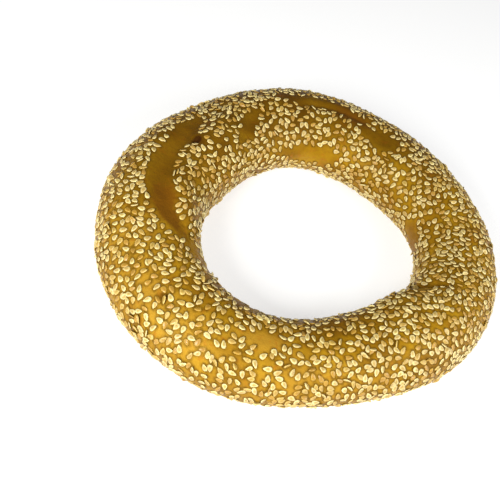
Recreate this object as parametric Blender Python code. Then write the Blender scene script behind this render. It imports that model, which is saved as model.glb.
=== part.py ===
"""A simit: a ring of bread dough, rolled in sesame seed and baked.

A rope of dough is bent into an uneven ring, and its two ends are pressed together on the left.
Lengths are in metres and +Z is up. The origin is under the middle of the ring, on the surface
that the bread rests on, and the side at -Y is the near one.

A place on the crust is two angles in degrees. The first runs round the ring, from +X towards +Y.
The second runs over the rope, from the ring's outer side (0) over its top (90) to the hole (180).
"""

import math
from collections import namedtuple

import bmesh
import bpy
import numpy as np
from mathutils import Matrix, Vector, noise
from mathutils.bvhtree import BVHTree

MM = 0.001

Wave = namedtuple("Wave", "count share crest")
Furrow = namedtuple("Furrow", "places depth left_reach right_reach")
Swell = namedtuple("Swell", "place length width turn height")
Bare = namedtuple("Bare", "place length width turn")

# The ring and its rope, before any wave or dent
RING_RADIUS = 65.0 * MM
ROPE_HALF_WIDTH = 19.1 * MM
ROPE_ASPECT = 0.87
PRESSED_FLAT_AT = 0.8
MIDDLE = Vector((0.2, -0.5, 0.0)) * MM

# How the ring strays from a circle and the rope from one thickness: waves round the ring
RING_WAVES = (
    Wave(count=2, share=0.059, crest=49),
    Wave(count=3, share=0.032, crest=1),
    Wave(count=4, share=0.006, crest=18),
    Wave(count=5, share=0.006, crest=-31),
)
ROPE_WAVES = (
    Wave(count=1, share=0.077, crest=140),
    Wave(count=2, share=0.039, crest=1),
    Wave(count=3, share=0.030, crest=-34),
    Wave(count=4, share=0.019, crest=-19),
    Wave(count=5, share=0.012, crest=-25),
)

# Creases in the dough, each along a line of places, with its width to either side of that line
JOIN = Furrow(
    places=((146, 66), (160, 79), (180, 88), (198, 97), (206, 106), (213, 118), (222, 140)),
    depth=2.3 * MM,
    left_reach=3.6 * MM,
    right_reach=6.5 * MM,
)
PINCH = Furrow(
    places=((354, 98), (350, 116), (346, 132), (341, 149), (335, 168), (330, 205)),
    depth=3.8 * MM,
    left_reach=1.8 * MM,
    right_reach=5.0 * MM,
)
TOP_WRINKLE = Furrow(
    places=((126, 114), (115, 96), (104, 90), (94, 91), (84, 92), (74, 97)),
    depth=1.3 * MM,
    left_reach=2.0 * MM,
    right_reach=2.8 * MM,
)
SIDE_WRINKLE = Furrow(
    places=((127, 98), (140, 106), (147, 115), (156, 128)),
    depth=1.1 * MM,
    left_reach=3.2 * MM,
    right_reach=3.2 * MM,
)
FURROWS = (JOIN, PINCH, TOP_WRINKLE, SIDE_WRINKLE)

# Rises and dents in the dough
SWELLS = (
    Swell(place=(203, 122), length=11 * MM, width=6 * MM, turn=25, height=1.6 * MM),
    Swell(place=(183, 66), length=15 * MM, width=7 * MM, turn=5, height=1.0 * MM),
    Swell(place=(107, 160), length=14 * MM, width=7 * MM, turn=0, height=0.9 * MM),
    Swell(place=(78, 108), length=7 * MM, width=5 * MM, turn=10, height=-1.5 * MM),
    Swell(place=(329, 136), length=10 * MM, width=8 * MM, turn=40, height=1.4 * MM),
    Swell(place=(352, 170), length=9 * MM, width=13 * MM, turn=0, height=-2.4 * MM),
    Swell(place=(8, 84), length=9 * MM, width=6 * MM, turn=0, height=-0.7 * MM),
    Swell(place=(268, 90), length=13 * MM, width=7 * MM, turn=10, height=-0.6 * MM),
)

# Smooth crust where no seed stuck
BARE_PATCHES = (
    Bare(place=(205, 98), length=11 * MM, width=5.5 * MM, turn=20),
    Bare(place=(190, 87), length=10 * MM, width=4.5 * MM, turn=5),
    Bare(place=(172, 80), length=11 * MM, width=4 * MM, turn=8),
    Bare(place=(217, 117), length=7 * MM, width=3.5 * MM, turn=40),
    Bare(place=(107, 168), length=13 * MM, width=5 * MM, turn=0),
    Bare(place=(78, 106), length=8 * MM, width=4.5 * MM, turn=10),
    Bare(place=(108, 84), length=13 * MM, width=3 * MM, turn=0),
    Bare(place=(146, 113), length=11 * MM, width=3 * MM, turn=30),
    Bare(place=(32, 182), length=8 * MM, width=5 * MM, turn=-35),
    Bare(place=(343, 148), length=4 * MM, width=10 * MM, turn=10),
)

BARE_ABOVE = 0.37

# Lumps left by the hands that rolled the rope: how far apart they are, and how high
LUMPS = ((23.0 * MM, 0.7 * MM), (9.0 * MM, 0.25 * MM))
LUMPS_FADE_BELOW = 4.0 * MM

# Facets of the crust
RING_STEPS = 84
ROPE_STEPS = 24
ROWS_CROWD_TOP = 0.35
PATH_STEPS = 10
SHARP_ABOVE = 50

# Sesame seeds: an even scatter of those that stand out most
SEED_LENGTH = 3.3 * MM
SEED_WIDTH = 2.0 * MM
SEED_THICKNESS = 1.1 * MM
SEED_TAPER = 0.42
SEED_SIDES = 5
SEED_RINGS = 3
SEED_RISE = 0.1 * MM
SEED_SPACING = 9.9 * MM
SEED_TRIES = 4000
SEED_SPAN = (-32, 212)
SEED_TILT = 8
SEED_DRAW = 7

CRUST_COLOUR = (0.47, 0.24, 0.03)
SEED_COLOUR = (0.78, 0.62, 0.34)


def wave_sum(waves, turn):
    """1 plus the waves, at the angles in turn, in radians."""
    total = np.ones_like(turn)
    for wave in waves:
        total += wave.share * np.cos(wave.count * (turn - math.radians(wave.crest)))
    return total


def wave_slope(waves, turn):
    """How fast wave_sum changes with the angle."""
    total = np.zeros_like(turn)
    for wave in waves:
        total -= wave.count * wave.share * np.sin(wave.count * (turn - math.radians(wave.crest)))
    return total


def plain_rope(turn, over):
    """Points and outward directions of the rope with its waves and flat base, but no dents."""
    radius = RING_RADIUS * wave_sum(RING_WAVES, turn)
    slope = RING_RADIUS * wave_slope(RING_WAVES, turn)
    half_width = ROPE_HALF_WIDTH * wave_sum(ROPE_WAVES, turn)
    outwards = np.stack([np.cos(turn), np.sin(turn)], axis=-1)
    onwards = np.stack([-np.sin(turn), np.cos(turn)], axis=-1)
    along = slope[:, None] * outwards + radius[:, None] * onwards
    along /= np.linalg.norm(along, axis=1, keepdims=True)
    across = np.stack([along[:, 1], -along[:, 0]], axis=-1)

    points = np.empty((len(turn), 3))
    points[:, :2] = radius[:, None] * outwards + (half_width * np.cos(over))[:, None] * across
    lift = np.maximum(np.sin(over), -PRESSED_FLAT_AT) + PRESSED_FLAT_AT
    points[:, 2] = ROPE_ASPECT * half_width * lift

    normals = np.empty_like(points)
    normals[:, :2] = (ROPE_ASPECT * np.cos(over))[:, None] * across
    normals[:, 2] = np.sin(over)
    normals /= np.linalg.norm(normals, axis=1, keepdims=True)
    return points, normals


def rope_place(place):
    """Point, outward direction and the two directions along the crust at a place."""
    turn, over = (np.array([math.radians(angle)]) for angle in place)
    step = np.array([0.01])
    point, normal = plain_rope(turn, over)
    along = plain_rope(turn + step, over)[0] - point
    around = np.cross(normal, along)
    return point[0], normal[0], along[0] / np.linalg.norm(along), around[0] / np.linalg.norm(around)


def smooth_line(places):
    """Places on a Catmull-Rom curve through the given ones."""
    given = np.array(places, float)
    padded = np.vstack([2 * given[0] - given[1], given, 2 * given[-1] - given[-2]])
    line = []
    for before, start, end, after in zip(padded, padded[1:], padded[2:], padded[3:]):
        for t in np.arange(PATH_STEPS) / PATH_STEPS:
            line.append(
                start
                + 0.5 * t * (end - before)
                + t**2 * (before - 2.5 * start + 2 * end - 0.5 * after)
                + t**3 * (1.5 * start - 0.5 * before - 1.5 * end + 0.5 * after)
            )
    return np.array(line + [given[-1]])


def furrow_depth(furrow, points):
    """How far a crease presses each point in: most along its line, and nothing past its ends."""
    line = np.radians(smooth_line(furrow.places))
    path, normals = plain_rope(line[:, 0], line[:, 1])
    leftwards = np.cross(normals, np.gradient(path, axis=0))
    gaps = points[:, None, :] - path[None, :, :]
    nearest = np.argmin(np.linalg.norm(gaps, axis=2), axis=1)
    gap = gaps[np.arange(len(points)), nearest]
    on_left = np.einsum("ij,ij->i", gap, leftwards[nearest]) > 0
    reach = np.where(on_left, furrow.left_reach, furrow.right_reach)
    onwards = np.gradient(path, axis=0)
    past = np.einsum("ij,ij->i", gap, onwards[nearest]) / (onwards[nearest] ** 2).sum(axis=1)
    travel = np.clip((nearest + past) / (len(path) - 1), 0, 1)
    aside = gap - np.clip(past, -0.5, 0.5)[:, None] * onwards[nearest]
    fade = np.sin(math.pi * travel) ** 0.6
    return furrow.depth * fade * np.exp(-((np.linalg.norm(aside, axis=1) / reach) ** 2))


def patch_weight(patch, points):
    """1 at the middle of an oval patch of crust, falling smoothly to 0 outside it."""
    centre, normal, along, around = rope_place(patch.place)
    turn = math.radians(patch.turn)
    long_way = math.cos(turn) * along + math.sin(turn) * around
    short_way = math.cos(turn) * around - math.sin(turn) * along
    gap = points - centre
    spread = (gap @ long_way / patch.length) ** 2 + (gap @ short_way / patch.width) ** 2
    return np.exp(-spread - (gap @ normal / patch.length) ** 2)


def shaped_crust(turn, over):
    """The crust's points, with its creases, swells and lumps."""
    points, normals = plain_rope(turn, over)
    push = np.zeros(len(points))
    for furrow in FURROWS:
        push -= furrow_depth(furrow, points)
    for swell in SWELLS:
        push += swell.height * patch_weight(swell, points)
    for apart, height in LUMPS:
        push += height * np.array([noise.noise(Vector(point) / apart) for point in points])
    push *= np.clip(points[:, 2] / LUMPS_FADE_BELOW, 0, 1)
    return points + push[:, None] * normals + np.array(MIDDLE)


def make_crust(material):
    """The bread itself: a circle swept round the ring, then given the rope's true form."""
    shape = bmesh.new()
    section = bmesh.ops.create_circle(
        shape,
        segments=ROPE_STEPS,
        radius=ROPE_HALF_WIDTH,
        matrix=Matrix.Translation((RING_RADIUS, 0, 0)) @ Matrix.Rotation(math.pi / 2, 4, "X"),
    )
    bmesh.ops.spin(
        shape,
        geom=section["verts"] + shape.edges[:],
        cent=(0, 0, 0),
        axis=(0, 0, 1),
        angle=2 * math.pi,
        steps=RING_STEPS,
        use_merge=True,
    )
    plain = np.array([vertex.co for vertex in shape.verts])
    turn = np.arctan2(plain[:, 1], plain[:, 0])
    over = np.arctan2(plain[:, 2], np.hypot(plain[:, 0], plain[:, 1]) - RING_RADIUS)
    over += ROWS_CROWD_TOP * np.cos(over)
    for vertex, point in zip(shape.verts, shaped_crust(turn, over)):
        vertex.co = point
    bmesh.ops.recalc_face_normals(shape, faces=shape.faces)
    mesh = bpy.data.meshes.new("simit")
    shape.to_mesh(mesh)
    shape.free()
    mesh.materials.append(material)
    crust = bpy.data.objects.new("simit", mesh)
    bpy.context.scene.collection.objects.link(crust)
    return crust


def make_seed_mesh(material):
    """One sesame seed: a drop with its point at +X and its flat face up."""
    shape = bmesh.new()
    bmesh.ops.create_uvsphere(shape, u_segments=SEED_SIDES, v_segments=SEED_RINGS, radius=0.5)
    point_forwards = Matrix.Rotation(math.pi / 2, 3, "Y")
    flat_side_up = Matrix.Rotation(-math.pi / 2, 3, "X")
    bmesh.ops.rotate(shape, verts=shape.verts, matrix=flat_side_up @ point_forwards)
    for vertex in shape.verts:
        vertex.co.y *= 1 - SEED_TAPER * 2 * vertex.co.x
    bmesh.ops.scale(shape, verts=shape.verts, vec=(SEED_LENGTH, SEED_WIDTH, SEED_THICKNESS))
    mesh = bpy.data.meshes.new("sesame_seed")
    shape.to_mesh(mesh)
    shape.free()
    mesh.materials.append(material)
    return mesh


def seed_places(crust, draw):
    """Points and outward directions of seeds, evenly apart and clear of the bare patches."""
    turn = draw.uniform(0, 2 * math.pi, SEED_TRIES)
    over = np.radians(draw.uniform(*SEED_SPAN, SEED_TRIES))
    points = shaped_crust(turn, over)
    bare = sum(patch_weight(patch, points - np.array(MIDDLE)) for patch in BARE_PATCHES)
    # The hole side has less crust than the outer side, so it keeps fewer tries
    crust_share = (RING_RADIUS + ROPE_HALF_WIDTH * np.cos(over)) / (RING_RADIUS + ROPE_HALF_WIDTH)
    kept = (bare < BARE_ABOVE) & (draw.random(SEED_TRIES) < crust_share)
    surface = BVHTree.FromObject(crust, bpy.context.evaluated_depsgraph_get())
    found = []
    for point in points[kept]:
        centre, normal, _, _ = surface.find_nearest(Vector(point))
        if all((centre - other).length > SEED_SPACING for other, _ in found):
            found.append((centre, normal))
    return found


def scatter_seeds(crust, mesh):
    """A collection of seeds lying on the crust, each turned its own way and sunk in a little."""
    draw = np.random.default_rng(SEED_DRAW)
    seeds = bpy.data.collections.new("seeds")
    bpy.context.scene.collection.children.link(seeds)
    for centre, normal in seed_places(crust, draw):
        seed = bpy.data.objects.new("seed", mesh)
        lie = normal.to_track_quat("Z", "X").to_matrix().to_4x4()
        heading = Matrix.Rotation(draw.uniform(0, 2 * math.pi), 4, "Z")
        tilt = Matrix.Rotation(math.radians(draw.uniform(-SEED_TILT, SEED_TILT)), 4, "Y")
        seed.matrix_world = Matrix.Translation(centre + SEED_RISE * normal) @ lie @ heading @ tilt
        seeds.objects.link(seed)
    return seeds


def fuse(crust, seeds):
    """Joins the seeds to the crust as one solid, and removes the loose ones."""
    join = crust.modifiers.new("seeds_on_crust", "BOOLEAN")
    join.operation = "UNION"
    join.operand_type = "COLLECTION"
    join.collection = seeds
    join.solver = "EXACT"
    join.material_mode = "TRANSFER"
    bpy.context.view_layer.update()
    graph = bpy.context.evaluated_depsgraph_get()
    fused = bpy.data.meshes.new_from_object(crust.evaluated_get(graph), depsgraph=graph)
    crust.modifiers.clear()
    crust.data = fused
    for seed in list(seeds.objects):
        bpy.data.objects.remove(seed)
    bpy.data.collections.remove(seeds)


def make_material(name, colour, roughness):
    material = bpy.data.materials.new(name)
    material.use_nodes = True
    shader = material.node_tree.nodes["Principled BSDF"]
    shader.inputs["Base Color"].default_value = (*colour, 1)
    shader.inputs["Roughness"].default_value = roughness
    shader.inputs["Metallic"].default_value = 0
    return material


def main():
    for old in list(bpy.data.objects):
        bpy.data.objects.remove(old)
    crust = make_crust(make_material("crust", CRUST_COLOUR, 0.5))
    seeds = scatter_seeds(crust, make_seed_mesh(make_material("sesame_seed", SEED_COLOUR, 0.45)))
    fuse(crust, seeds)
    crust.data.shade_smooth()
    crust.data.set_sharp_from_angle(angle=math.radians(SHARP_ABOVE))


main()
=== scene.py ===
"""The looks of a simit: its baked crust and its full coat of sesame seed.

The crust is the same form as the part's solid, made finer. Lengths are in metres and +Z is up.
A place on the crust is two angles in degrees: round the ring from +X towards +Y, then over the
rope from the ring's outer side (0) over its top (90) to the hole (180). Turns and tilts in the
named values are in degrees too, and colours are in linear light.
"""

import itertools
import math
from collections import namedtuple

import bmesh
import bpy
import numpy as np
from mathutils import Matrix, Vector, noise
from mathutils.kdtree import KDTree


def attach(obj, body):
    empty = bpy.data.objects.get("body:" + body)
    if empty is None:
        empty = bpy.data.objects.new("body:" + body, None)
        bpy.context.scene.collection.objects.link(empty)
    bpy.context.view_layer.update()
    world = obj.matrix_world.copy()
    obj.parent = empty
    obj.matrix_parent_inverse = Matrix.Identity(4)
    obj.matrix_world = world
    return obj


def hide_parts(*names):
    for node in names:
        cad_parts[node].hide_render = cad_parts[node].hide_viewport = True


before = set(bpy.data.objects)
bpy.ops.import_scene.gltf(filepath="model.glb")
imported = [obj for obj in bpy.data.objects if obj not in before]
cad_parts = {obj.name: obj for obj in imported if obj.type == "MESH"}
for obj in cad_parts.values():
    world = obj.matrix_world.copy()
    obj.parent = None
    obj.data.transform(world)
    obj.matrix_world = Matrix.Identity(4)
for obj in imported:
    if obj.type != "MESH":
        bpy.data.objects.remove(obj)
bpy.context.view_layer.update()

MM = 0.001

Wave = namedtuple("Wave", "count share crest")
Furrow = namedtuple("Furrow", "places depth left_reach right_reach")
Swell = namedtuple("Swell", "place length width turn height")
Patch = namedtuple("Patch", "place length width turn")
Lumps = namedtuple("Lumps", "apart height")
SeedKind = namedtuple("SeedKind", "name share rise pale_rim middle roughness")
StainOrShade = namedtuple("StainOrShade", "colour share")
Lamp = namedtuple("Lamp", "name place size power colour")
Net = namedtuple("Net", "points normals areas creased")

# The ring and its rope, before any wave or dent
RING_RADIUS = 65.0 * MM
ROPE_HALF_WIDTH = 19.1 * MM
ROPE_ASPECT = 0.87
PRESSED_FLAT_AT = 0.8
MIDDLE = Vector((0.2, -0.5, 0.0)) * MM

# How the ring strays from a circle and the rope from one thickness: waves round the ring
RING_WAVES = (
    Wave(count=2, share=0.059, crest=49),
    Wave(count=3, share=0.032, crest=1),
    Wave(count=4, share=0.006, crest=18),
    Wave(count=5, share=0.006, crest=-31),
)
ROPE_WAVES = (
    Wave(count=1, share=0.077, crest=140),
    Wave(count=2, share=0.039, crest=1),
    Wave(count=3, share=0.030, crest=-34),
    Wave(count=4, share=0.019, crest=-19),
    Wave(count=5, share=0.012, crest=-25),
)

# Creases in the dough, each along a line of places, with its width to either side of that line
JOIN = Furrow(
    places=((146, 66), (160, 79), (180, 88), (198, 97), (206, 106), (213, 118), (222, 140)),
    depth=2.3 * MM,
    left_reach=3.6 * MM,
    right_reach=6.5 * MM,
)
PINCH = Furrow(
    places=((354, 98), (350, 116), (346, 132), (341, 149), (335, 168), (330, 205)),
    depth=3.8 * MM,
    left_reach=1.8 * MM,
    right_reach=5.0 * MM,
)
TOP_WRINKLE = Furrow(
    places=((126, 114), (115, 96), (104, 90), (94, 91), (84, 92), (74, 97)),
    depth=1.3 * MM,
    left_reach=2.0 * MM,
    right_reach=2.8 * MM,
)
SIDE_WRINKLE = Furrow(
    places=((127, 98), (140, 106), (147, 115), (156, 128)),
    depth=1.1 * MM,
    left_reach=3.2 * MM,
    right_reach=3.2 * MM,
)
FURROWS = (JOIN, PINCH, TOP_WRINKLE, SIDE_WRINKLE)
FURROW_END_FADE = 0.6

# Rises and dents in the dough
SWELLS = (
    Swell(place=(203, 122), length=11 * MM, width=6 * MM, turn=25, height=1.6 * MM),
    Swell(place=(183, 66), length=15 * MM, width=7 * MM, turn=5, height=1.0 * MM),
    Swell(place=(107, 160), length=14 * MM, width=7 * MM, turn=0, height=0.9 * MM),
    Swell(place=(78, 108), length=7 * MM, width=5 * MM, turn=10, height=-1.5 * MM),
    Swell(place=(329, 136), length=10 * MM, width=8 * MM, turn=40, height=1.4 * MM),
    Swell(place=(352, 170), length=9 * MM, width=13 * MM, turn=0, height=-2.4 * MM),
    Swell(place=(175, 99), length=2.0 * MM, width=1.4 * MM, turn=0, height=-1.7 * MM),
    Swell(place=(8, 84), length=9 * MM, width=6 * MM, turn=0, height=-0.7 * MM),
    Swell(place=(268, 90), length=13 * MM, width=7 * MM, turn=10, height=-0.6 * MM),
)

# Smooth crust where no seed stuck, and how far into a patch or a crease it is bare
BARE_PATCHES = (
    Patch(place=(205, 98), length=11 * MM, width=5.5 * MM, turn=20),
    Patch(place=(190, 87), length=10 * MM, width=4.5 * MM, turn=5),
    Patch(place=(172, 80), length=11 * MM, width=4 * MM, turn=8),
    Patch(place=(217, 117), length=7 * MM, width=3.5 * MM, turn=40),
    Patch(place=(110, 168), length=13 * MM, width=4.6 * MM, turn=0),
    Patch(place=(78, 106), length=8 * MM, width=4.5 * MM, turn=10),
    Patch(place=(112, 86), length=16 * MM, width=3 * MM, turn=0),
    Patch(place=(94, 93), length=7 * MM, width=3 * MM, turn=0),
    Patch(place=(146, 113), length=11 * MM, width=3 * MM, turn=30),
    Patch(place=(32, 182), length=8 * MM, width=5 * MM, turn=-35),
    Patch(place=(343, 148), length=4.5 * MM, width=11 * MM, turn=10),
    Patch(place=(175, 99), length=2.2 * MM, width=1.8 * MM, turn=0),
    Patch(place=(270, 87), length=7 * MM, width=3.5 * MM, turn=0),
    Patch(place=(231, 142), length=7 * MM, width=3 * MM, turn=30),
    Patch(place=(261, 137), length=7 * MM, width=2.2 * MM, turn=0),
)
BARE_ABOVE = 0.3
BARE_IN_CREASE = 0.6

# Stretches of crust with a thinner coat of seed, and how thick the coat is elsewhere
THIN_PATCHES = (
    Patch(place=(243, 70), length=46 * MM, width=22 * MM, turn=0),
    Patch(place=(292, 68), length=46 * MM, width=20 * MM, turn=0),
    Patch(place=(20, 150), length=18 * MM, width=9 * MM, turn=0),
    Patch(place=(95, 120), length=44 * MM, width=17 * MM, turn=0),
    Patch(place=(165, 116), length=24 * MM, width=13 * MM, turn=0),
)
THIN_SHARE = 0.72
CLUMP_COVER = 0.8
CLUMP_CONTRAST = 1.05
CLUMPS_APART = 6.0 * MM
LEAST_COVER = 0.3
UNDERSIDE_SHARE = 0.12

# Crust browner or paler in patches, and painted shade on top of the far side and in a small pit
# Painted shade over the top of the far side, where the crust also baked a little darker
FAR_SIDE_TOAST_AND_SHADE_PATCHES = (
    Patch(place=(188, 92), length=30 * MM, width=15 * MM, turn=0),
    Patch(place=(140, 100), length=30 * MM, width=18 * MM, turn=0),
    Patch(place=(100, 98), length=30 * MM, width=15 * MM, turn=0),
    Patch(place=(66, 92), length=20 * MM, width=11 * MM, turn=0),
)
BROWNED_PATCHES = (
    Patch(place=(207, 103), length=8 * MM, width=5 * MM, turn=20),
    Patch(place=(216, 113), length=8 * MM, width=3.5 * MM, turn=40),
    Patch(place=(241, 66), length=2.6 * MM, width=1.6 * MM, turn=30),
    Patch(place=(93, 92), length=12 * MM, width=5 * MM, turn=0),
)
# Painted shade: the inside of a small pit, nearly black
PIT_SHADE_PATCHES = (Patch(place=(174.5, 99), length=2.4 * MM, width=1.5 * MM, turn=10),)
# Paler crust, most of it on the lit near side, where it is partly painted sheen of the key light
PALER_AND_SHEEN_PATCHES = (
    Patch(place=(239, 50), length=15 * MM, width=9 * MM, turn=0),
    Patch(place=(285, 36), length=30 * MM, width=8 * MM, turn=0),
    Patch(place=(252, 52), length=14 * MM, width=10 * MM, turn=0),
    Patch(place=(270, 84), length=11 * MM, width=5 * MM, turn=0),
    Patch(place=(222, 60), length=15 * MM, width=11 * MM, turn=0),
    Patch(place=(344, 146), length=6 * MM, width=10 * MM, turn=0),
)
FULL_CREASE = 3.0 * MM

# Lumps of the dough and the fine skin of the crust. Relief fades out towards the base, which
# stays a little above the floor.
LUMPS = (
    Lumps(apart=23.0 * MM, height=0.7 * MM),
    Lumps(apart=9.0 * MM, height=0.25 * MM),
    Lumps(apart=4.0 * MM, height=0.1 * MM),
    Lumps(apart=1.7 * MM, height=0.05 * MM),
)
RELIEF_FADES_BELOW = 4.0 * MM
BASE_GAP = 0.35 * MM

# Steps round the ring and over the rope, and between two places of a crease
RING_STEPS = 640
ROPE_STEPS = 152
PATH_STEPS = 10

# Form of a sesame seed: a flattened drop
SEED_LENGTH = (2.7 * MM, 3.5 * MM)
SEED_WIDTH = (1.6 * MM, 2.05 * MM)
SEED_THICKNESS = (0.5 * MM, 0.7 * MM)
SEED_TAPER = 0.46
SEED_SIDES = 10
SEED_RINGS = 4
SEED_SHOULDER = 1.07
SEED_FLATNESS = 0.75

# How the seeds lie: the same random draws each run. Rises are shares of a seed's thickness, or
# of its width where it is on edge, and gaps are shares of its width, kept from both its ends.
RANDOM_START = 11
SEED_TRIES = 48000
SEED_TILT = 11
LENGTHWAYS_TILT = 0.6 * SEED_TILT
ON_EDGE_SHARE = 0.06
ON_EDGE_TILT = (35, 62)
ON_EDGE_RISE = 0.2
UNDERSIDE_RISE = -0.15
END_REACH = 0.27
SEED_GAP = 0.76
ON_EDGE_GAP = 0.45
SEARCH_CELL = 3.2 * MM
BASE_HEIGHT = 1.2 * MM
SEED_KINDS = (
    SeedKind(
        name="pale_seeds",
        share=0.54,
        rise=0.25,
        pale_rim=(0.82, 0.69, 0.31),
        middle=(0.46, 0.33, 0.09),
        roughness=0.42,
    ),
    SeedKind(
        name="golden_seeds",
        share=0.28,
        rise=0.15,
        pale_rim=(0.64, 0.46, 0.13),
        middle=(0.42, 0.27, 0.05),
        roughness=0.42,
    ),
    SeedKind(
        name="glazed_seeds",
        share=0.18,
        rise=-0.05,
        pale_rim=(0.50, 0.30, 0.04),
        middle=(0.38, 0.20, 0.02),
        roughness=0.4,
    ),
)
SEED_BROWNING = StainOrShade(colour=(0.36, 0.20, 0.05), share=0.45)
SEED_CLOUD_SHARE = 0.3

# Colours of the crust: its mottling from dark to pale, and the stains and painted shade over that,
# each with the share of it that shows where it is strongest
GOLDEN_MOTTLE = (
    (0.36, (0.2, 0.09, 0.003)),
    (0.5, (0.3, 0.153, 0.004)),
    (0.64, (0.37, 0.2, 0.007)),
)
FLECKS = StainOrShade(colour=(0.26, 0.12, 0.006), share=0.5)
# Paler crust, partly painted sheen on the lit near side
PALER_AND_SHEEN = StainOrShade(colour=(0.45, 0.244, 0.024), share=0.65)
RUSTY = StainOrShade(colour=(0.34, 0.11, 0.006), share=0.55)
# Painted shade on top of the far side, multiplied over the crust, with some darker baking there
FAR_SIDE_TOAST_AND_SHADE = StainOrShade(colour=(0.53, 0.49, 0.45), share=1.0)
# Painted shade that deepens with a crease, along with browner crust in the creases
CREASE_SHADE_AND_BROWNING = StainOrShade(colour=(0.2, 0.09, 0.004), share=0.45)
BROWNED = StainOrShade(colour=(0.15, 0.055, 0.003), share=0.9)
# Painted shade inside the small pit
PIT_SHADE = StainOrShade(colour=(0.04, 0.012, 0.002), share=0.95)
# Painted shade close to each seed, standing in for its shadow, with glaze that pools and browns there
SHADE_AND_GLAZE_BESIDE_SEEDS = StainOrShade(colour=(0.1, 0.047, 0.002), share=0.82)
BESIDE_WITHIN = 0.8 * MM
BESIDE_UP_TO = 1.5 * MM
GLAZE_SHINE = 0.2
GLAZE_TINT = (1.0, 0.72, 0.2)

# Where a mix node of colours takes its share and its two colours, and gives the result
COLOUR_MIX_INPUTS = (0, 6, 7)
COLOUR_MIX_OUTPUT = 2

# The floor, the key light on the near left, the fill light on the right, and the white surround
WHITE = (1.0, 1.0, 1.0)
FLOOR_HALF_SIDE = 3.0
FLOOR_COLOUR = (0.5, 0.5, 0.5)
FLOOR_ROUGHNESS = 0.9
FLOOR_GLOW = 0.62
LAMPS = (
    Lamp(
        name="key_light",
        place=(-0.14, -0.40, 0.27),
        size=0.18,
        power=3.0,
        colour=(1.0, 1.0, 0.96),
    ),
    Lamp(
        name="fill_light",
        place=(0.46, -0.12, 0.3),
        size=0.36,
        power=2.7,
        colour=WHITE,
    ),
)
SURROUND_STRENGTH = 0.17

# The photograph's camera: it looks down on the ring, and is turned about its own line of sight
CAMERA_HEIGHT_ANGLE = math.radians(49.2)
CAMERA_TURN = math.radians(24.2)
CAMERA_DISTANCE = 300.5 * MM
CAMERA_LENS = 48.55
CAMERA_SHIFT = (-0.102, 0.005)
CAMERA_CLIP_START = 0.01


def wave_sum(waves, turn):
    """1 plus the waves, at the angles in turn, in radians."""
    total = np.ones_like(turn)
    for wave in waves:
        total += wave.share * np.cos(wave.count * (turn - math.radians(wave.crest)))
    return total


def wave_slope(waves, turn):
    """How fast wave_sum changes with the angle."""
    total = np.zeros_like(turn)
    for wave in waves:
        total -= wave.count * wave.share * np.sin(wave.count * (turn - math.radians(wave.crest)))
    return total


def plain_rope(turn, over):
    """Points and outward directions of the rope with its waves and flat base, but no dents."""
    radius = RING_RADIUS * wave_sum(RING_WAVES, turn)
    slope = RING_RADIUS * wave_slope(RING_WAVES, turn)
    half_width = ROPE_HALF_WIDTH * wave_sum(ROPE_WAVES, turn)
    outwards = np.stack([np.cos(turn), np.sin(turn)], axis=-1)
    onwards = np.stack([-np.sin(turn), np.cos(turn)], axis=-1)
    along = slope[:, None] * outwards + radius[:, None] * onwards
    along /= np.linalg.norm(along, axis=1, keepdims=True)
    across = np.stack([along[:, 1], -along[:, 0]], axis=-1)

    points = np.empty((len(turn), 3))
    points[:, :2] = radius[:, None] * outwards + (half_width * np.cos(over))[:, None] * across
    lift = np.maximum(np.sin(over), -PRESSED_FLAT_AT) + PRESSED_FLAT_AT
    points[:, 2] = ROPE_ASPECT * half_width * lift

    normals = np.empty_like(points)
    normals[:, :2] = (ROPE_ASPECT * np.cos(over))[:, None] * across
    normals[:, 2] = np.sin(over)
    normals /= np.linalg.norm(normals, axis=1, keepdims=True)
    return points, normals


def rope_place(place):
    """Point, outward direction and the two directions along the crust at a place."""
    turn, over = (np.array([math.radians(angle)]) for angle in place)
    small_turn = 0.01
    point, normal = plain_rope(turn, over)
    along = plain_rope(turn + small_turn, over)[0] - point
    around = np.cross(normal, along)
    return point[0], normal[0], along[0] / np.linalg.norm(along), around[0] / np.linalg.norm(around)


def smooth_line(places):
    """Places on a Catmull-Rom curve through the given ones."""
    given = np.array(places, float)
    padded = np.vstack([2 * given[0] - given[1], given, 2 * given[-1] - given[-2]])
    line = []
    for before, start, end, after in zip(padded, padded[1:], padded[2:], padded[3:]):
        for t in np.arange(PATH_STEPS) / PATH_STEPS:
            line.append(
                start
                + 0.5 * t * (end - before)
                + t**2 * (before - 2.5 * start + 2 * end - 0.5 * after)
                + t**3 * (1.5 * start - 0.5 * before - 1.5 * end + 0.5 * after)
            )
    return np.array(line + [given[-1]])


def furrow_depth(furrow, points):
    """How far a crease presses each point in: most along its line, and nothing past its ends."""
    line = np.radians(smooth_line(furrow.places))
    path, normals = plain_rope(line[:, 0], line[:, 1])
    onwards = np.gradient(path, axis=0)
    leftwards = np.cross(normals, onwards)
    gaps = points[:, None, :] - path[None, :, :]
    nearest = np.argmin(np.linalg.norm(gaps, axis=2), axis=1)
    gap = gaps[np.arange(len(points)), nearest]
    on_left = np.einsum("ij,ij->i", gap, leftwards[nearest]) > 0
    reach = np.where(on_left, furrow.left_reach, furrow.right_reach)
    past = np.einsum("ij,ij->i", gap, onwards[nearest]) / (onwards[nearest] ** 2).sum(axis=1)
    travel = np.clip((nearest + past) / (len(path) - 1), 0, 1)
    aside = gap - np.clip(past, -0.5, 0.5)[:, None] * onwards[nearest]
    fade = np.sin(math.pi * travel) ** FURROW_END_FADE
    return furrow.depth * fade * np.exp(-((np.linalg.norm(aside, axis=1) / reach) ** 2))


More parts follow.
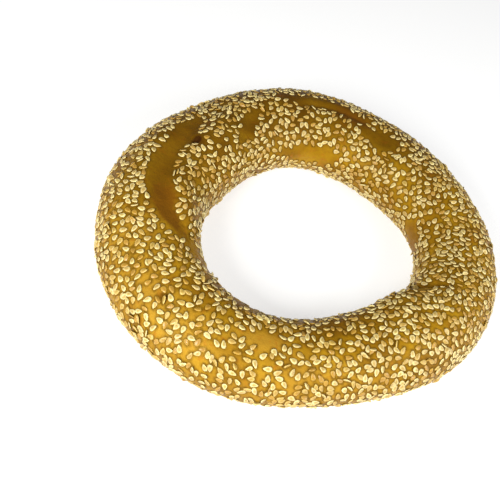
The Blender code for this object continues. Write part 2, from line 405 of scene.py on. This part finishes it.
def patch_weight(patch, points):
    """1 at the middle of an oval patch of crust, falling smoothly to 0 outside it."""
    centre, normal, along, around = rope_place(patch.place)
    turn = math.radians(patch.turn)
    long_way = math.cos(turn) * along + math.sin(turn) * around
    short_way = math.cos(turn) * around - math.sin(turn) * along
    gap = points - centre
    spread = (gap @ long_way / patch.length) ** 2 + (gap @ short_way / patch.width) ** 2
    return np.exp(-spread - (gap @ normal / patch.length) ** 2)


def shaped_crust(turn, over):
    """The crust's points, and how deep each one lies in a crease, from 0 to 1."""
    points, normals = plain_rope(turn, over)
    creased = sum(furrow_depth(furrow, points) for furrow in FURROWS)
    push = -creased
    for swell in SWELLS:
        push += swell.height * patch_weight(swell, points)
    for lumps in LUMPS:
        heights = np.array([noise.noise(Vector(point) / lumps.apart) for point in points])
        push += lumps.height * heights
    push *= np.clip(points[:, 2] / RELIEF_FADES_BELOW, 0, 1)
    points[:, 2] = np.maximum(points[:, 2], BASE_GAP)
    return points + push[:, None] * normals, np.clip(creased / FULL_CREASE, 0, 1)


def crust_net():
    """The crust at even steps round the ring and over the rope: what the mesh and its seeds use."""
    turn, over = np.meshgrid(
        2 * math.pi * np.arange(RING_STEPS) / RING_STEPS,
        2 * math.pi * np.arange(ROPE_STEPS) / ROPE_STEPS,
        indexing="ij",
    )
    points, creased = shaped_crust(turn.ravel(), over.ravel())
    points = (points + np.array(MIDDLE)).reshape(RING_STEPS, ROPE_STEPS, 3)
    onwards = np.roll(points, -1, axis=0) - np.roll(points, 1, axis=0)
    around = np.roll(points, -1, axis=1) - np.roll(points, 1, axis=1)
    normals = np.cross(onwards, around)
    areas = np.linalg.norm(normals, axis=2)
    return Net(points, normals / areas[:, :, None], areas, creased.reshape(areas.shape))


def link_mesh(name, shape):
    """A smooth-shaded object from a bmesh, which is used up."""
    mesh = bpy.data.meshes.new(name)
    shape.to_mesh(mesh)
    shape.free()
    mesh.shade_smooth()
    piece = bpy.data.objects.new(name, mesh)
    bpy.context.scene.collection.objects.link(piece)
    return piece


def add_attribute(piece, name, values):
    """Gives each vertex of a piece a number for its material to read."""
    attribute = piece.data.attributes.new(name, "FLOAT", "POINT")
    attribute.data.foreach_set("value", values.astype(np.float32))


def make_crust(net):
    """The bread itself: a circle swept round the ring, then given the rope's true form."""
    shape = bmesh.new()
    section = bmesh.ops.create_circle(
        shape,
        segments=ROPE_STEPS,
        radius=ROPE_HALF_WIDTH,
        matrix=Matrix.Translation((RING_RADIUS, 0, 0)) @ Matrix.Rotation(math.pi / 2, 4, "X"),
    )
    bmesh.ops.spin(
        shape,
        geom=section["verts"] + shape.edges[:],
        cent=(0, 0, 0),
        axis=(0, 0, 1),
        angle=2 * math.pi,
        steps=RING_STEPS,
        use_merge=True,
    )
    plain = np.array([vertex.co for vertex in shape.verts])
    turn = np.arctan2(plain[:, 1], plain[:, 0])
    over = np.arctan2(plain[:, 2], np.hypot(plain[:, 0], plain[:, 1]) - RING_RADIUS)
    ring_step = np.rint(turn * RING_STEPS / (2 * math.pi)).astype(int) % RING_STEPS
    rope_step = np.rint(over * ROPE_STEPS / (2 * math.pi)).astype(int) % ROPE_STEPS
    for vertex, point in zip(shape.verts, net.points[ring_step, rope_step]):
        vertex.co = point
    bmesh.ops.recalc_face_normals(shape, faces=shape.faces)
    crust = link_mesh("crust", shape)
    add_attribute(crust, "creased", net.creased[ring_step, rope_step])
    on_rope = net.points[ring_step, rope_step] - np.array(MIDDLE)
    bakes = (
        ("far_side_toast_and_shade", FAR_SIDE_TOAST_AND_SHADE_PATCHES),
        ("browned", BROWNED_PATCHES),
        ("pit_shade", PIT_SHADE_PATCHES),
        ("paler", PALER_AND_SHEEN_PATCHES),
    )
    for name, patches in bakes:
        add_attribute(crust, name, sum(patch_weight(patch, on_rope) for patch in patches))
    return crust


def seed_template():
    """A seed one unit long, wide and thick: a drop with its point at +X and its flat face up."""
    shape = bmesh.new()
    bmesh.ops.create_uvsphere(shape, u_segments=SEED_SIDES, v_segments=SEED_RINGS, radius=0.5)
    rim = shape.verts.layers.float.new("rim")
    shape.verts.layers.float.new("tint")
    for vertex in shape.verts:
        reach = 2 * math.hypot(vertex.co.x, vertex.co.y)
        in_middle = reach < 0.1
        at_rim = reach > 0.9
        vertex[rim] = reach
        if in_middle:
            vertex.co.z *= SEED_FLATNESS
        elif not at_rim:
            vertex.co.xy *= SEED_SHOULDER
        vertex.co.y *= 1 - SEED_TAPER * 2 * vertex.co.x
    mesh = bpy.data.meshes.new("seed_template")
    shape.to_mesh(mesh)
    shape.free()
    return mesh


def seed_cover(points, creased):
    """How thickly seed covers each point of the crust, from 0 to 1."""
    on_rope = points - np.array(MIDDLE)
    bare = sum(patch_weight(patch, on_rope) for patch in BARE_PATCHES)
    thin = np.clip(sum(patch_weight(patch, on_rope) for patch in THIN_PATCHES), 0, 1)
    clumps = np.array([noise.noise(Vector(point) / CLUMPS_APART) for point in on_rope])
    cover = (1 - THIN_SHARE * thin) * np.clip(CLUMP_COVER + CLUMP_CONTRAST * clumps, LEAST_COVER, 1)
    cover *= np.where(points[:, 2] < BASE_HEIGHT, UNDERSIDE_SHARE, 1)
    return np.where((bare > BARE_ABOVE) | (creased > BARE_IN_CREASE), 0.0, cover)


def lies_clear(ends, placed, cell):
    """Whether both ends of a seed keep their gap from the ends of the seeds near it."""
    for x, y, z in itertools.product((-1, 0, 1), repeat=3):
        for other_ends, gap in placed.get((cell[0] + x, cell[1] + y, cell[2] + z), ()):
            for end, other_end in itertools.product(ends, other_ends):
                if (end - other_end).length < gap:
                    return False
    return True


def seed_lie(draw, kind, size, on_underside, on_edge):
    """How high a seed sits on the crust, and how it is tilted."""
    sideways = Matrix.Rotation(math.radians(draw.normal(0, SEED_TILT)), 4, "X")
    lengthways = Matrix.Rotation(math.radians(draw.normal(0, LENGTHWAYS_TILT)), 4, "Y")
    if on_underside:
        return UNDERSIDE_RISE * size.z, Matrix.Identity(4)
    if on_edge:
        steep = math.radians(draw.uniform(*ON_EDGE_TILT))
        return ON_EDGE_RISE * size.y, Matrix.Rotation(steep, 4, "X")
    return kind.rise * size.z, sideways @ lengthways


def seed_matrix(centre, normal, heading, size, rise, tilt):
    """Where a seed lies, and how it is turned, tilted and stretched."""
    side = normal.cross(heading).normalized()
    turned = Matrix((heading, side, normal)).transposed().to_4x4()
    lifted = Matrix.Translation(centre + rise * normal)
    return lifted @ turned @ tilt @ Matrix.Diagonal((*size, 1))


def add_seed(shape, template, matrix, tint):
    """Adds one seed to its kind's shape, lifted where it would reach below the floor."""
    seed = template.copy()
    seed.transform(matrix)
    lowest = min(vertex.co.z for vertex in seed.vertices)
    seed.transform(Matrix.Translation((0, 0, max(0, -lowest))))
    tints = np.full(len(seed.vertices), tint, np.float32)
    seed.attributes["tint"].data.foreach_set("value", tints)
    shape.from_mesh(seed)
    bpy.data.meshes.remove(seed)


def scatter_seeds(net):
    """A piece of each kind of seed, lying on the crust flat side down, and where all their ends are."""
    draw = np.random.default_rng(RANDOM_START)
    points = net.points.reshape(-1, 3)
    normals = net.normals.reshape(-1, 3)
    weights = net.areas.ravel() * seed_cover(points, net.creased.ravel())
    tries = draw.choice(len(points), SEED_TRIES, p=weights / weights.sum())
    shapes = {kind.name: bmesh.new() for kind in SEED_KINDS}
    shares = [kind.share for kind in SEED_KINDS]
    template = seed_template()
    placed = {}
    for place in tries:
        centre = Vector(points[place])
        normal = Vector(normals[place])
        heading = normal.orthogonal().normalized()
        heading.rotate(Matrix.Rotation(draw.uniform(0, 2 * math.pi), 3, normal))
        size = Vector([draw.uniform(*sizes) for sizes in (SEED_LENGTH, SEED_WIDTH, SEED_THICKNESS)])
        cell = tuple(int(distance // SEARCH_CELL) for distance in centre)
        on_edge = draw.random() < ON_EDGE_SHARE
        reach = END_REACH * size.x
        ends = (centre + reach * heading, centre - reach * heading)
        if not lies_clear(ends, placed, cell):
            continue
        gap = size.y * (ON_EDGE_GAP if on_edge else SEED_GAP)
        placed.setdefault(cell, []).append((ends, gap))
        kind = SEED_KINDS[draw.choice(len(SEED_KINDS), p=shares)]
        rise, tilt = seed_lie(draw, kind, size, centre.z < BASE_HEIGHT, on_edge)
        matrix = seed_matrix(centre, normal, heading, size, rise, tilt)
        add_seed(shapes[kind.name], template, matrix, draw.random())
    bpy.data.meshes.remove(template)
    pieces = {name: link_mesh(name, shape) for name, shape in shapes.items()}
    return pieces, [end for in_cell in placed.values() for ends, _ in in_cell for end in ends]


def mark_shade_and_glaze_beside_seeds(crust, seed_ends):
    """Marks the crust close to a seed, for painted shade where its shadow falls and where the glaze pools
    and browns.
    """
    tree = KDTree(len(seed_ends))
    for index, end in enumerate(seed_ends):
        tree.insert(end, index)
    tree.balance()
    gaps = np.array([tree.find(vertex.co)[2] for vertex in crust.data.vertices])
    beside = np.clip((BESIDE_UP_TO - gaps) / (BESIDE_UP_TO - BESIDE_WITHIN), 0, 1)
    add_attribute(crust, "shade_and_glaze_beside_seed", beside)


class Nodes:
    """Adds shader nodes to a new material and joins them."""

    def __init__(self, name):
        self.material = bpy.data.materials.new(name)
        self.material.use_nodes = True
        self.tree = self.material.node_tree
        self.shader = self.tree.nodes["Principled BSDF"]

    def add(self, kind, **values):
        node = self.tree.nodes.new(kind)
        for name, value in values.items():
            setattr(node, name, value)
        return node

    def join(self, output, socket):
        self.tree.links.new(output, socket)

    def place(self):
        return self.add("ShaderNodeTexCoord").outputs["Object"]

    def attribute(self, name):
        return self.add("ShaderNodeAttribute", attribute_name=name).outputs["Fac"]

    def noise(self, apart, detail=2.0, distortion=0.0):
        """Noise from 0 to 1 whose lumps are about this far apart, in metres."""
        node = self.add("ShaderNodeTexNoise")
        self.join(self.place(), node.inputs["Vector"])
        node.inputs["Scale"].default_value = 1 / apart
        node.inputs["Detail"].default_value = detail
        node.inputs["Distortion"].default_value = distortion
        return node.outputs["Fac"]

    def ramp(self, value, stops):
        """A colour for each value, blended between the colours at the stops."""
        node = self.add("ShaderNodeValToRGB")
        self.join(value, node.inputs["Fac"])
        elements = node.color_ramp.elements
        while len(elements) < len(stops):
            elements.new(0.5)
        for element, (position, colour) in zip(elements, stops):
            element.position = position
            element.color = (*colour, 1)
        return node.outputs["Color"]

    def between(self, value, low, high, to_low=0.0, to_high=1.0):
        """The value, moved from one range to another and kept within it."""
        node = self.add("ShaderNodeMapRange")
        self.join(value, node.inputs["Value"])
        node.inputs["From Min"].default_value = low
        node.inputs["From Max"].default_value = high
        node.inputs["To Min"].default_value = to_low
        node.inputs["To Max"].default_value = to_high
        return node.outputs["Result"]

    def math(self, operation, first, second):
        node = self.add("ShaderNodeMath", operation=operation)
        for socket, value in zip(node.inputs, (first, second)):
            if isinstance(value, (int, float)):
                socket.default_value = value
            else:
                self.join(value, socket)
        return node.outputs["Value"]

    def mix(self, share, first, second, blend="MIX"):
        """One colour over another. Each is a socket or a colour of its own, and the share is a socket."""
        node = self.add("ShaderNodeMix", data_type="RGBA", blend_type=blend)
        factor_in, first_in, second_in = (node.inputs[index] for index in COLOUR_MIX_INPUTS)
        self.join(share, factor_in)
        for socket, value in ((first_in, first), (second_in, second)):
            if isinstance(value, tuple):
                socket.default_value = (*value, 1)
            else:
                self.join(value, socket)
        return node.outputs[COLOUR_MIX_OUTPUT]

    def stain_or_shade(self, colour, weight, stain_or_shade, blend="MIX"):
        """The colour with a stain or painted shade over it, up to its share where the weight is 1."""
        return self.mix(self.math("MULTIPLY", weight, stain_or_shade.share), colour, stain_or_shade.colour, blend)

    def bump(self, height, distance, under=None):
        """Fine relief of this height, in metres, over any relief under it."""
        node = self.add("ShaderNodeBump")
        self.join(height, node.inputs["Height"])
        node.inputs["Distance"].default_value = distance
        node.inputs["Strength"].default_value = 1.0
        if under is not None:
            self.join(under, node.inputs["Normal"])
        return node.outputs["Normal"]


def crust_material():
    """Golden mottled crust, browner or paler in patches, with painted shade on the far side, in creases,
    in a pit and by seeds.
    """
    nodes = Nodes("baked_crust")
    colour = nodes.ramp(nodes.noise(apart=16 * MM, detail=3), GOLDEN_MOTTLE)
    flecks = nodes.between(nodes.noise(apart=1.6 * MM, detail=4), low=0.42, high=0.7)
    colour = nodes.stain_or_shade(colour, flecks, FLECKS)
    # Paler crust, partly painted sheen on the lit near side
    paler = nodes.between(nodes.attribute("paler"), low=0.1, high=0.9)
    colour = nodes.stain_or_shade(colour, paler, PALER_AND_SHEEN)
    blotches = nodes.noise(apart=3.4 * MM, detail=3, distortion=0.6)
    colour = nodes.stain_or_shade(colour, nodes.between(blotches, low=0.58, high=0.72), RUSTY)
    # Painted shade on top of the far side, with some darker baking there
    far_side_toast_and_shade = nodes.between(nodes.attribute("far_side_toast_and_shade"), low=0.1, high=0.9)
    colour = nodes.stain_or_shade(colour, far_side_toast_and_shade, FAR_SIDE_TOAST_AND_SHADE, blend="MULTIPLY")
    # Painted shade in the creases, growing with their depth, along with browner crust there
    creased = nodes.between(nodes.attribute("creased"), low=0.15, high=0.9)
    colour = nodes.stain_or_shade(colour, creased, CREASE_SHADE_AND_BROWNING)
    wander = nodes.noise(apart=4.0 * MM, detail=3, distortion=0.5)
    wander = nodes.between(wander, low=0.3, high=0.7, to_low=-0.25, to_high=0.25)
    browned = nodes.math("ADD", nodes.attribute("browned"), wander)
    colour = nodes.stain_or_shade(colour, nodes.between(browned, low=0.25, high=0.8), BROWNED)
    # Painted shade inside the small pit
    pit_shade = nodes.between(nodes.attribute("pit_shade"), low=0.12, high=0.4)
    colour = nodes.stain_or_shade(colour, pit_shade, PIT_SHADE)
    # Painted shade beside the seeds, with pooled glaze browning there
    colour = nodes.stain_or_shade(colour, nodes.attribute("shade_and_glaze_beside_seed"), SHADE_AND_GLAZE_BESIDE_SEEDS)
    nodes.join(colour, nodes.shader.inputs["Base Color"])
    rough = nodes.noise(apart=3.0 * MM, detail=3)
    rough = nodes.between(rough, low=0.3, high=0.7, to_low=0.38, to_high=0.56)
    nodes.join(rough, nodes.shader.inputs["Roughness"])
    skin = nodes.bump(nodes.noise(apart=2.2 * MM, detail=3), distance=0.25 * MM)
    pores = nodes.noise(apart=0.55 * MM, detail=2)
    nodes.join(nodes.bump(pores, distance=0.06 * MM, under=skin), nodes.shader.inputs["Normal"])
    nodes.shader.inputs["Specular IOR Level"].default_value = GLAZE_SHINE
    nodes.shader.inputs["Specular Tint"].default_value = (*GLAZE_TINT, 1)
    return nodes.material


def seed_material(kind):
    """A seed's skin: pale round its rim and darker in the middle, each seed a little different."""
    nodes = Nodes(kind.name + "_skin")
    rim = nodes.between(nodes.attribute("rim"), low=0.3, high=0.74)
    colour = nodes.mix(rim, kind.middle, kind.pale_rim)
    colour = nodes.stain_or_shade(colour, nodes.attribute("tint"), SEED_BROWNING)
    cloud = nodes.between(nodes.noise(apart=0.9 * MM, detail=2), low=0.35, high=0.75)
    colour = nodes.stain_or_shade(colour, cloud, StainOrShade(colour=kind.middle, share=SEED_CLOUD_SHARE))
    nodes.join(colour, nodes.shader.inputs["Base Color"])
    nodes.shader.inputs["Roughness"].default_value = kind.roughness
    grain = nodes.bump(nodes.noise(apart=0.35 * MM, detail=2), distance=0.03 * MM)
    nodes.join(grain, nodes.shader.inputs["Normal"])
    return nodes.material


def make_floor():
    """A wide pale floor under the bread, which glows a little so that it shows nearly white."""
    shape = bmesh.new()
    bmesh.ops.create_grid(shape, x_segments=1, y_segments=1, size=FLOOR_HALF_SIDE)
    floor = link_mesh("floor", shape)
    nodes = Nodes("pale_floor")
    nodes.shader.inputs["Base Color"].default_value = (*FLOOR_COLOUR, 1)
    nodes.shader.inputs["Roughness"].default_value = FLOOR_ROUGHNESS
    nodes.shader.inputs["Emission Color"].default_value = (*WHITE, 1)
    nodes.shader.inputs["Emission Strength"].default_value = FLOOR_GLOW
    floor.data.materials.append(nodes.material)


def add_lamp(lamp):
    """A square soft light that faces the bread."""
    light = bpy.data.lights.new(lamp.name, "AREA")
    light.size = lamp.size
    light.energy = lamp.power
    light.color = lamp.colour
    holder = bpy.data.objects.new(lamp.name, light)
    holder.location = lamp.place
    holder.rotation_euler = (-Vector(lamp.place)).to_track_quat("-Z", "Y").to_euler()
    bpy.context.scene.collection.objects.link(holder)


def make_light():
    """The lamps, with a dim white surround."""
    for lamp in LAMPS:
        add_lamp(lamp)
    world = bpy.data.worlds.new("white_surround")
    bpy.context.scene.world = world
    world.use_nodes = True
    background = world.node_tree.nodes["Background"]
    background.inputs["Color"].default_value = (*WHITE, 1)
    background.inputs["Strength"].default_value = SURROUND_STRENGTH
    bpy.context.scene.view_settings.view_transform = "Standard"


def make_camera():
    """The camera at the photograph's angle, turned about its line of sight as the photograph is."""
    level_right = Vector((1, 0, 0))
    back = Vector((0, -math.cos(CAMERA_HEIGHT_ANGLE), math.sin(CAMERA_HEIGHT_ANGLE)))
    level_up = back.cross(level_right)
    right = math.cos(CAMERA_TURN) * level_right + math.sin(CAMERA_TURN) * level_up
    up = back.cross(right)
    lens = bpy.data.cameras.new("camera")
    lens.lens = CAMERA_LENS
    lens.shift_x, lens.shift_y = CAMERA_SHIFT
    lens.clip_start = CAMERA_CLIP_START
    camera = bpy.data.objects.new("camera", lens)
    turned = Matrix((right, up, back)).transposed().to_4x4()
    camera.matrix_world = Matrix.Translation(MIDDLE + CAMERA_DISTANCE * back) @ turned
    bpy.context.scene.collection.objects.link(camera)
    bpy.context.scene.camera = camera


def make_bread():
    """The crust and its seeds, in place of the plain solid."""
    net = crust_net()
    crust = make_crust(net)
    crust.data.materials.append(crust_material())
    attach(crust, "root")
    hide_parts("simit")
    seeds, seed_ends = scatter_seeds(net)
    mark_shade_and_glaze_beside_seeds(crust, seed_ends)
    for kind in SEED_KINDS:
        piece = seeds[kind.name]
        piece.data.materials.append(seed_material(kind))
        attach(piece, "root")


make_camera()
make_light()
make_floor()
make_bread()
